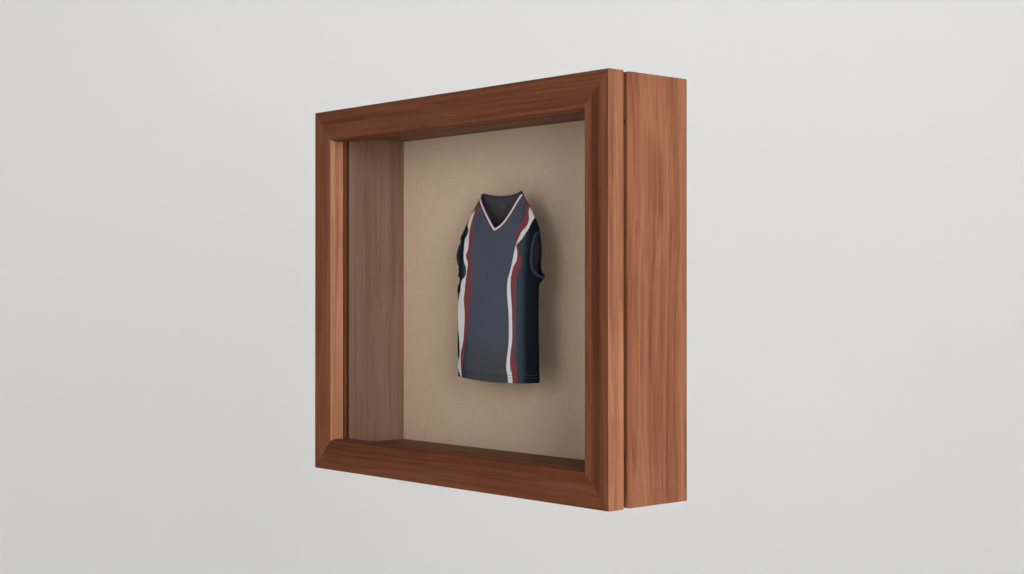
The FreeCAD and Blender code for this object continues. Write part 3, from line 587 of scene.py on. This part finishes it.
def girth_at(level):
    """Half width, half depth and the middle's distance from the wall at a level, as one smooth curve."""
    levels = [row[0] for row in GIRTHS]
    at = min(max(level, levels[0]), levels[-1])
    i = min(max(int(np.searchsorted(levels, at)) - 1, 0), len(levels) - 2)
    table = np.array(GIRTHS, float)
    slopes = np.gradient(table[:, 1:], table[:, 0], axis=0)
    low, high = table[i], table[i + 1]
    span = high[0] - low[0]
    t = (at - low[0]) / span
    return (low[1:] * (2 * t ** 3 - 3 * t ** 2 + 1) + slopes[i] * span * (t ** 3 - 2 * t ** 2 + t)
            + high[1:] * (3 * t ** 2 - 2 * t ** 3) + slopes[i + 1] * span * (t ** 3 - t ** 2))


SQUARENESS = 2.15


def quarter(level, front):
    """Points along a quarter of the girth, from the side (+X) to the middle, with the length to each."""
    half, deep, out = girth_at(level)
    turn = np.linspace(0, math.pi / 2, 160)
    x = half * np.cos(turn) ** (2 / SQUARENESS)
    y = deep * np.sin(turn) ** (2 / SQUARENESS)
    line = np.stack([x, -out - y if front else -out + y], axis=1)
    along = np.concatenate([[0], np.cumsum(np.linalg.norm(np.diff(line, axis=0), axis=1))])
    return line, along


def neck_x(level, sign):
    """How far the V neck's edge is from the middle; the right arm of the V sags a little more."""
    if level <= NECK_LOW:
        return 0.0
    share = min(1.0, (level - NECK_LOW) / (STRAP_TOP - NECK_LOW))
    return NECK_HALF * share ** (1 / 1.75 if sign > 0 else 1 / 1.12)


def arm_cut(level, front):
    """How far the armhole is cut in from the side at a level; the front is cut deeper than the back."""
    if not ARM_LOW < level < ARM_HIGH:
        return 0.0
    share = (level - ARM_LOW) / (ARM_HIGH - ARM_LOW)
    return (FRONT_ARM_CUT if front else BACK_ARM_CUT) * math.sin(math.pi * share) ** 0.55


def flare(level, away, sign):
    """How far the cloth stands out sideways at an armhole's edge, and at the corner below it."""
    near = math.exp(-((away / 12) ** 2))
    if sign > 0:
        return near * 11 * math.exp(-(((level - 20) / 8) ** 2))
    return near * (12 * math.exp(-(((level - 55) / 24) ** 2)) - 12 * math.exp(-(((level - 19) / 8) ** 2)))


def hem_level(x):
    """The hem hangs a little lower in the middle."""
    return -143.6 + 0.00042 * (x - 20) ** 2


class Cloth:
    """Collects a cloth mesh whose panels share the points on their seams."""

    def __init__(self):
        self.points, self.cut, self.faces = [], [], []
        self.known = {}

    def point(self, place, cut):
        key = tuple(int(round(v * 50)) for v in place)
        if key not in self.known:
            self.known[key] = len(self.points)
            self.points.append(place)
            self.cut.append(cut)
        return self.known[key]

    def panel(self, grid, flip):
        """Faces of a grid of point numbers; those that shrink to nothing are left out."""
        for low, high in zip(grid, grid[1:]):
            for i in range(len(low) - 1):
                ring = [low[i], low[i + 1], high[i + 1], high[i]]
                ring = [p for k, p in enumerate(ring) if p != ring[k - 1]]
                if len(set(ring)) > 2:
                    self.faces.append(tuple(reversed(ring)) if flip else tuple(ring))


def quarter_panel(cloth, levels, sign, front):
    """One quarter of the jersey, from its side seam to its middle line, as a grid of point numbers."""
    collar_half = GIRTHS[-1][1]
    grid = []
    for level in levels:
        line, along = quarter(min(level, COLLAR_TOP), front)
        start = arm_cut(level, front)
        end = along[-1]
        if front:
            end = float(np.interp(-neck_x(level, sign), -line[:, 0], along))
        row = []
        for i in range(COLUMNS + 1):
            at = start + (end - start) * i / COLUMNS
            x = float(np.interp(at, along, line[:, 0]))
            y = float(np.interp(at, along, line[:, 1]))
            z = level
            if level < WAIST:
                z += (hem_level(sign * x) - HEM) * ((WAIST - level) / (WAIST - HEM)) ** 2
            if not front and level > YOKE:
                top = COLLAR_TOP - COLLAR_DIP * (1 - min(1.0, x / collar_half) ** 2)
                z = YOKE + (level - YOKE) * (top - YOKE) / (COLLAR_TOP - YOKE)
            out = x + flare(level, at, sign)
            spot = (sign * out, y, z)
            row.append(cloth.point(spot, (sign * x * MM, MM if front else -MM, z * MM)))
        grid.append(row)
    cloth.panel(grid, (sign > 0) == front)
    return grid


def jersey_levels(top):
    """Rows of the cloth, with one exactly at the V's point and at each end of the armholes."""
    marks = [HEM, ARM_LOW, ARM_HIGH, NECK_LOW, STRAP_TOP] + ([COLLAR_TOP] if top > STRAP_TOP else [])
    levels = []
    for low, high in zip(marks, marks[1:]):
        steps = max(1, round((high - low) / CELL))
        levels += [low + (high - low) * k / steps for k in range(steps)]
    return levels + [marks[-1]]


def make_jersey(face, lining, form):
    """The jersey as one cloth over its form, with its edges listed for the trims."""
    cloth = Cloth()
    grids = {}
    for sign in (1, -1):
        grids[sign, "front"] = quarter_panel(cloth, jersey_levels(STRAP_TOP), sign, True)
        grids[sign, "back"] = quarter_panel(cloth, jersey_levels(COLLAR_TOP), sign, False)
    piece = mesh_piece("jersey_cloth", np.array(cloth.points) * MM, cloth.faces, [face, lining])
    store_cut(piece, cloth.cut)
    levels = jersey_levels(COLLAR_TOP)
    rows = {round(level, 3): k for k, level in enumerate(levels)}
    v_row, strap_row = rows[NECK_LOW], rows[STRAP_TOP]
    low_row, high_row = rows[ARM_LOW], rows[ARM_HIGH]
    left_arm = [grids[-1, "front"][r][-1] for r in range(strap_row, v_row - 1, -1)]
    right_arm = [grids[1, "front"][r][-1] for r in range(v_row, strap_row + 1)]
    edges = {"neck": left_arm + right_arm[1:]}
    edges["collar"] = ([row[0] for row in grids[1, "back"][strap_row:]] + grids[1, "back"][-1][1:]
                       + grids[-1, "back"][-1][-2::-1]
                       + [row[0] for row in grids[-1, "back"][-2:strap_row - 1:-1]])
    for sign, side in ((1, "right"), (-1, "left")):
        up = [grids[sign, "front"][r][0] for r in range(low_row, high_row + 1)]
        down = [grids[sign, "back"][r][0] for r in range(high_row - 1, low_row, -1)]
        edges[f"{side}_arm"] = up + down
    for row in THREAD_ROWS:
        ring = grids[1, "front"][row] + grids[-1, "front"][row][-2::-1]
        ring += grids[-1, "back"][row][1:] + grids[1, "back"][row][-2:0:-1]
        edges[f"hem_{row}"] = ring
    hang(piece, form)
    return piece, edges


def hang(piece, form):
    """Lets the cloth settle over its form, by simulation, each point kept near where it was cut to lie."""
    rest = points_of(piece)
    start_slack(piece)
    scene = bpy.context.scene
    form.modifiers.new("collide", "COLLISION")
    form.collision.thickness_outer = 0.0004
    form.collision.cloth_friction = 15
    pins = piece.vertex_groups.new(name="held")
    for i, spot in enumerate(rest):
        held = 1.0 if spot[2] > 0.140 else 0.12 + 0.5 * max(0.0, (spot[2] - 0.08) / 0.06)
        pins.add([i], min(1.0, held), "REPLACE")
    settle = piece.modifiers.new("settle", "CLOTH")
    settle.settings.quality = 5
    settle.settings.mass = 0.15
    settle.settings.tension_stiffness = 30
    settle.settings.compression_stiffness = 8
    settle.settings.bending_stiffness = 0.02
    settle.settings.vertex_group_mass = "held"
    settle.settings.pin_stiffness = 0.4
    settle.collision_settings.distance_min = 0.0004
    settle.point_cache.frame_start = 1
    settle.point_cache.frame_end = SETTLE_FRAMES
    for number in range(1, SETTLE_FRAMES + 1):
        scene.frame_set(number)
    modifiers_applied(piece)
    form.modifiers.clear()
    keep_near(piece, rest, SETTLE_REACH)
    scene.frame_set(1)
    thick = piece.modifiers.new("cloth_thickness", "SOLIDIFY")
    thick.thickness = CLOTH_THICK
    thick.offset = -1
    thick.material_offset = 1
    thick.material_offset_rim = 0
    finer = piece.modifiers.new("finer", "SUBSURF")
    finer.levels = finer.render_levels = 1


def start_slack(piece):
    """A little fullness before the cloth settles: soft upright folds that fade towards the shoulders."""
    for vertex in piece.data.vertices:
        x, y, z = vertex.co
        fade = max(0.0, min(1.0, (0.06 - z) / 0.12))
        fold = math.sin(x * 95 + z * 9) * 0.5 + math.sin(x * 41 - z * 14 + 1.7) * 0.8
        vertex.co.y += -0.0010 * fade * fold * (1 if y < -0.05 else -0.4)


def keep_near(piece, rest, reach):
    """No point of the cloth moves further than reach from where it was cut to lie."""
    now = points_of(piece)
    step = now - rest
    far = np.linalg.norm(step, axis=1)
    share = np.minimum(1.0, reach / np.maximum(far, 1e-9))
    piece.data.vertices.foreach_set("co", (rest + step * share[:, None]).ravel())
    piece.data.update()


def surface_normals(piece):
    return np.array([tuple(v.normal) for v in piece.data.vertices])


def make_trim(name, cloth, edge, material, width, thick, side, closed=False, lead=0.0006):
    """A binding that follows an edge of the cloth.

    side is the sign of the way in from the edge, and lead is how far the binding stands out past the edge.
    """
    points, normals = points_of(cloth)[edge], surface_normals(cloth)[edge]
    if closed:
        points, normals = np.vstack([points, points[:1]]), np.vstack([normals, normals[:1]])
    along = np.concatenate([[0], np.cumsum(np.linalg.norm(np.diff(points, axis=0), axis=1))])
    count = int(along[-1] / 0.0015)
    at = np.linspace(0, along[-1], count + 1)
    path = np.stack([np.interp(at, along, points[:, k]) for k in range(3)], axis=1)
    facing = np.stack([np.interp(at, along, normals[:, k]) for k in range(3)], axis=1)
    if closed:
        path, facing, at = path[:-1], facing[:-1], at[:-1]
    section = pillow_profile(width, thick)
    profile = [(side * (a - lead), b - CLOTH_THICK / 2) for a, b in section]
    made, faces = sweep(path, facing, profile, closed)
    piece = mesh_piece(name, made, faces, [material])
    cut = [(a - width / 2, 0.0, s) for s in at for a, _ in section]
    store_cut(piece, cut)
    mend_normals(piece)
    return piece


def mend_normals(piece):
    """Turns every face of a closed mesh outwards."""
    work = bmesh.new()
    work.from_mesh(piece.data)
    bmesh.ops.recalc_face_normals(work, faces=work.faces)
    work.to_mesh(piece.data)
    work.free()
    piece.data.update()


def make_stitches(name, cloth, rings, material, pitch=0.0026, long=0.0021, thick=0.0004):
    """Rows of short stitches that lie on the cloth along closed rings of its points."""
    where, facing = points_of(cloth), surface_normals(cloth)
    points, faces = [], []
    sides = 6
    for ring in rings:
        path, out = where[ring + ring[:1]], facing[ring + ring[:1]]
        along = np.concatenate([[0], np.cumsum(np.linalg.norm(np.diff(path, axis=0), axis=1))])
        for start in np.arange(pitch, along[-1] - pitch, pitch):
            at = start + long * np.array([0, 0.18, 0.5, 0.82, 1])
            spots = np.stack([np.interp(at, along, path[:, k]) for k in range(3)], axis=1)
            up = np.array([np.interp(start, along, out[:, k]) for k in range(3)])
            up /= np.linalg.norm(up)
            ahead = spots[-1] - spots[0]
            ahead /= np.linalg.norm(ahead)
            side = np.cross(ahead, up)
            first = len(points)
            for spot, girth, lift in zip(spots, (0.35, 0.9, 1.0, 0.9, 0.35), (-0.4, 0.5, 0.8, 0.5, -0.4)):
                centre = spot + up * thick * lift
                for k in range(sides):
                    turn = 2 * math.pi * k / sides
                    points.append(centre + (side * math.cos(turn) + up * math.sin(turn)) * thick * girth)
            for band in range(len(spots) - 1):
                for k in range(sides):
                    here, there = first + band * sides, first + (band + 1) * sides
                    faces.append((here + k, here + (k + 1) % sides, there + (k + 1) % sides, there + k))
            faces.append(tuple(first + k for k in reversed(range(sides))))
            faces.append(tuple(first + (len(spots) - 1) * sides + k for k in range(sides)))
    piece = mesh_piece(name, points, faces, [material])
    mend_normals(piece)
    return piece


def make_tag(name, material):
    """A small blank woven tag inside the back of the neck, with a slight sag."""
    wide, tall, thick = 0.011, 0.007, 0.0006
    _, deep, out = girth_at(132)
    middle = Vector((-0.006, (-out + deep) * MM - 0.0021, 0.1305))
    points, faces = [], []
    columns, rows = 12, 8
    for i in range(rows + 1):
        for j in range(columns + 1):
            u, v = j / columns - 0.5, i / rows - 0.5
            sag = 0.0005 * math.cos(math.pi * u) * (0.5 - v)
            points.append(middle + Vector((u * wide, -sag, v * tall)))
    for i in range(rows):
        for j in range(columns):
            a = i * (columns + 1) + j
            faces.append((a, a + 1, a + columns + 2, a + columns + 1))
    piece = mesh_piece(name, points, faces, [material])
    store_cut(piece, [(p[0] - middle[0], 0.0, p[2] - middle[2]) for p in points])
    solid = piece.modifiers.new("thickness", "SOLIDIFY")
    solid.thickness = thick
    return piece


def make_form(material):
    """The foam form: the CAD solid's shape with its edges rubbed round."""
    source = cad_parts["jersey_form"]
    piece = bpy.data.objects.new("foam_form", source.data.copy())
    bpy.context.scene.collection.objects.link(piece)
    remesh = piece.modifiers.new("even", "REMESH")
    remesh.mode = "VOXEL"
    remesh.voxel_size = 0.0025
    smooth = piece.modifiers.new("rub", "SMOOTH")
    smooth.iterations = 5
    smooth.factor = 0.5
    modifiers_applied(piece)
    piece.data.materials.clear()
    piece.data.materials.append(material)
    piece.data.polygons.foreach_set("use_smooth", [True] * len(piece.data.polygons))
    return piece


# ---- other soft pieces ----

def make_linen(material):
    """The linen face of the backing: a stretched sheet with a slow ripple, holed where screws pass it."""
    low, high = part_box("backing_linen")
    cell = 0.006
    columns, rows = round((high.x - low.x) / cell), round((high.z - low.z) / cell)
    screws = [(s * 0.31475, z) for s in (-1, 1) for z in (-0.23, 0, 0.23)]
    screws += [(s * 0.15, t * 0.26775) for s in (-1, 1) for t in (-1, 1)]
    screws += [(0, 0.03), (0, -0.09)]
    points, faces = [], []
    for i in range(rows + 1):
        for j in range(columns + 1):
            x = low.x + (high.x - low.x) * j / columns
            z = low.z + (high.z - low.z) * i / rows
            ripple = math.sin(x * 31 + 1.2 * math.sin(z * 17)) * math.sin(z * 23 + x * 5)
            points.append((x, low.y + 0.00012 * (1 + ripple), z))
    for i in range(rows):
        for j in range(columns):
            a = i * (columns + 1) + j
            ring = (a, a + 1, a + columns + 2, a + columns + 1)
            x = (points[ring[0]][0] + points[ring[2]][0]) / 2
            z = (points[ring[0]][2] + points[ring[2]][2]) / 2
            if all(math.hypot(x - sx, z - sz) > 0.0045 for sx, sz in screws):
                faces.append(ring)
    piece = mesh_piece("linen_face", points, faces, [material])
    solid = piece.modifiers.new("thickness", "SOLIDIFY")
    solid.thickness = 0.0003
    solid.offset = -1
    return piece


def make_seals(material):
    """Foam strips with a D-shaped section, one in the place of each plain CAD strip."""
    made = []
    for side in ("top", "bottom", "left", "right"):
        low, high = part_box(f"dust_seal_{side}")
        upright = side in ("left", "right")
        wide = (high.x - low.x if upright else high.z - low.z) / 2
        tall = high.y - low.y
        middle = (low + high) / 2
        start, end = (low.z, high.z) if upright else (low.x, high.x)
        steps = int((end - start) / 0.006)
        profile = [(-wide, 0.0), (wide, 0.0), (wide, tall * 0.35)]
        profile += [(wide * math.cos(math.pi * k / 8), tall * (0.35 + 0.65 * math.sin(math.pi * k / 8)))
                    for k in range(1, 8)]
        profile.append((-wide, tall * 0.35))
        points, faces = [], []
        for i in range(steps + 1):
            along = start + (end - start) * i / steps
            squeeze = 1 - 0.03 * (1 + math.sin(along * 37 + len(side)))
            for across, out in profile:
                y = high.y - out * squeeze
                points.append((middle.x + across, y, along) if upright else (along, y, middle.z + across))
        count = len(profile)
        for i in range(steps):
            for k in range(count):
                a, b = i * count, (i + 1) * count
                faces.append((a + k, a + (k + 1) % count, b + (k + 1) % count, b + k))
        faces.append(tuple(range(count)))
        faces.append(tuple(steps * count + k for k in range(count)))
        piece = mesh_piece(f"seal_{side}", points, faces, [material])
        mend_normals(piece)
        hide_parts(f"dust_seal_{side}")
        made.append(piece)
    return made


def dress():
    """Makes the soft pieces, and says what each rides on."""
    form = make_form(rubber("form_foam", (0.012, 0.012, 0.014), 1500.0))
    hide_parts("jersey_form")
    cloth, edges = make_jersey(jersey_face("jersey_knit"), jersey_lining("jersey_wrong_side"), form)
    white_trim = trim_cloth("neck_rib", ((0.0, WHITE), (0.0015, DARK_RED)))
    navy_trim = trim_cloth("navy_rib", ((0.0, (0.040, 0.047, 0.072)), (0.0012, (0.030, 0.036, 0.058))))
    neck = make_trim("neck_binding", cloth, edges["neck"], white_trim, 0.0070, 0.0013, -1, lead=0.0034)
    collar = make_trim("collar_binding", cloth, edges["collar"], navy_trim, 0.0044, 0.0017, -1)
    arms = [make_trim(f"{side}_arm_binding", cloth, edges[f"{side}_arm"], navy_trim, 0.0042, 0.0017,
                      turn, closed=True) for side, turn in (("right", 1), ("left", -1))]
    hem = make_stitches("hem_stitches", cloth, [edges[f"hem_{row}"] for row in THREAD_ROWS],
                        thread("navy_thread", (0.030, 0.034, 0.050)))
    tag_weave = trim_cloth("tag_weave", ((0.0, (0.12, 0.030, 0.034)), (0.002, (0.10, 0.09, 0.09))))
    tag = make_tag("blank_neck_tag", tag_weave)
    on_it = [neck, collar, *arms, hem, tag]
    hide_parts("jersey_front", "jersey_back")
    back = make_linen(linen("linen"))
    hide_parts("backing_linen")
    seals = make_seals(rubber("seal_foam", (0.020, 0.020, 0.021), 2600.0))
    for piece in (form, cloth, back, *on_it, *seals):
        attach(piece, "case")


# ---- room, lights and camera ----

def pale(name, colour, rough):
    """Matt studio paint on the inside only, so that the room can be looked into from outside."""
    paint = Finish(name)
    spot = paint.add("TexCoord").outputs["Object"]
    cloud = paint.noise(spot, scale=0.8, detail=2.0)
    base = paint.mix(cloud, tuple(c * 0.97 for c in colour), colour)
    paint.done(Base_Color=base, Roughness=rough)
    outside = paint.add("NewGeometry").outputs["Backfacing"]
    clear = paint.add("BsdfTransparent", [("Color", (1, 1, 1, 1))])
    wall = paint.add("MixShader", [(0, outside), (1, paint.shader.outputs[0]), (2, clear.outputs[0])])
    return paint.surface(wall)


def make_room():
    """A round pale floor that curves up into a wall all round, open at the top."""
    radius, floor, top, corner = 4.3, -1.45, 3.4, 1.2
    line = [(0.0, floor), (radius - corner, floor)]
    line += [(radius - corner + corner * math.sin(t), floor + corner - corner * math.cos(t))
             for t in np.linspace(0.1, math.pi / 2, 12)]
    line.append((radius, top))
    steps = 96
    points = [(r * math.cos(2 * math.pi * k / steps), r * math.sin(2 * math.pi * k / steps), z)
              for r, z in line for k in range(steps)]
    faces = []
    for i in range(len(line) - 1):
        for k in range(steps):
            a, b = i * steps, (i + 1) * steps
            faces.append((a + k, b + k, b + (k + 1) % steps, a + (k + 1) % steps))
    room = mesh_piece("studio_floor", points, faces, [pale("studio_pale", (0.80, 0.80, 0.80), 0.9)])


def area_light(name, place, target, size, power, colour=(1, 1, 1)):
    data = bpy.data.lights.new(name, "AREA")
    data.shape = "RECTANGLE"
    data.size, data.size_y = size
    data.energy = power
    data.color = colour
    lamp = bpy.data.objects.new(name, data)
    lamp.location = place
    lamp.rotation_euler = (Vector(target) - Vector(place)).to_track_quat("-Z", "Y").to_euler()
    lamp.visible_camera = False
    bpy.context.scene.collection.objects.link(lamp)


def make_lights():
    middle = (0, -0.08, 0)
    area_light("key", (3.15, -1.15, 0.40), middle, (2.0, 1.6), 128, (1.0, 0.98, 0.95))
    area_light("front", (0.5, -3.7, 0.6), middle, (2.0, 2.0), 20, (1.0, 0.98, 0.96))
    area_light("top", (-0.2, -0.8, 3.2), middle, (2.0, 2.0), 6)
    area_light("wall_wash", (-0.4, 1.2, 2.8), (-2.6, 3.0, -0.2), (2.0, 1.4), 46)
    world = bpy.data.worlds.new("studio_air")
    world.use_nodes = True
    world.node_tree.nodes["Background"].inputs["Color"].default_value = (0.92, 0.96, 1.0, 1)
    world.node_tree.nodes["Background"].inputs["Strength"].default_value = 0.14
    bpy.context.scene.world = world
    bpy.context.scene.view_settings.view_transform = "Standard"


def make_camera():
    """In front and to the right of the case, level with its middle."""
    heading, rise = math.radians(48.33), math.radians(0.2)
    ahead = Vector((-math.sin(heading) * math.cos(rise), math.cos(heading) * math.cos(rise), math.sin(rise)))
    data = bpy.data.cameras.new("camera")
    data.sensor_width = 36
    data.lens = 53.7
    camera = bpy.data.objects.new("camera", data)
    camera.location = (1.8048, -1.6302, -0.0035)
    camera.rotation_euler = ahead.to_track_quat("-Z", "Y").to_euler()
    bpy.context.scene.collection.objects.link(camera)
    bpy.context.scene.camera = camera


make_camera()
paint_nodes()
dress()
make_room()
make_lights()
